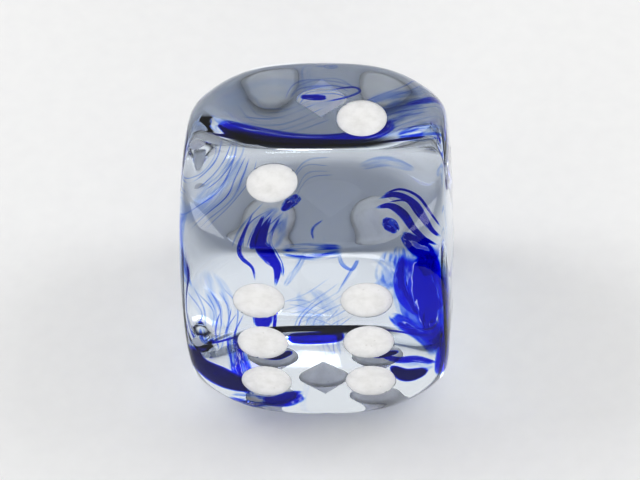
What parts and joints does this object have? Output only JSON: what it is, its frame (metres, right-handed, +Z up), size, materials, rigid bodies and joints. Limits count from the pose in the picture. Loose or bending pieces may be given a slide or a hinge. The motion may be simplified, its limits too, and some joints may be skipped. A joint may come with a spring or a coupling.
{
  "type": "six-sided die",
  "caption": "Clear resin gaming die with ball-cornered edges, painted white pips and blue ink swirls cast inside.",
  "frame": {"origin": "centre of the resting face (the face of five pips)", "axes": "+Z up through the face of two pips, +X through the face of three, +Y through the face of one, -Y through the face of six"},
  "size_m": [0.016, 0.016, 0.016],
  "materials": {
    "clear_resin": "polished clear cast resin",
    "white_paint": "satin enamel paint, wiped flush",
    "blue_ink_dense": "dyed resin, deep cobalt blue",
    "blue_ink_faint": "dyed resin, thin blue haze"
  },
  "bodies": {
    "root": {"clear_body": "clear_resin", "pip_one_1": "white_paint", "pip_two_1": "white_paint", "pip_two_2": "white_paint", "pip_three_1": "white_paint", "pip_three_2": "white_paint", "pip_three_3": "white_paint", "pip_four_1": "white_paint", "pip_four_2": "white_paint", "pip_four_3": "white_paint", "pip_four_4": "white_paint", "pip_five_1": "white_paint", "pip_five_2": "white_paint", "pip_five_3": "white_paint", "pip_five_4": "white_paint", "pip_five_5": "white_paint", "pip_six_1": "white_paint", "pip_six_2": "white_paint", "pip_six_3": "white_paint", "pip_six_4": "white_paint", "pip_six_5": "white_paint", "pip_six_6": "white_paint", "ink_cloud_right": "blue_ink_dense", "ink_feather_right": "blue_ink_dense", "ink_ribbon_left": "blue_ink_dense", "ink_ribbon_low": "blue_ink_dense", "ink_smear_base": "blue_ink_dense", "ink_curl_middle": "blue_ink_faint", "ink_veil_left": "blue_ink_faint", "ink_wisp_left": "blue_ink_faint", "ink_arc_back": "blue_ink_faint", "ink_streak_back": "blue_ink_faint", "ink_swirl_deep": "blue_ink_faint"}
  },
  "joints": []
}
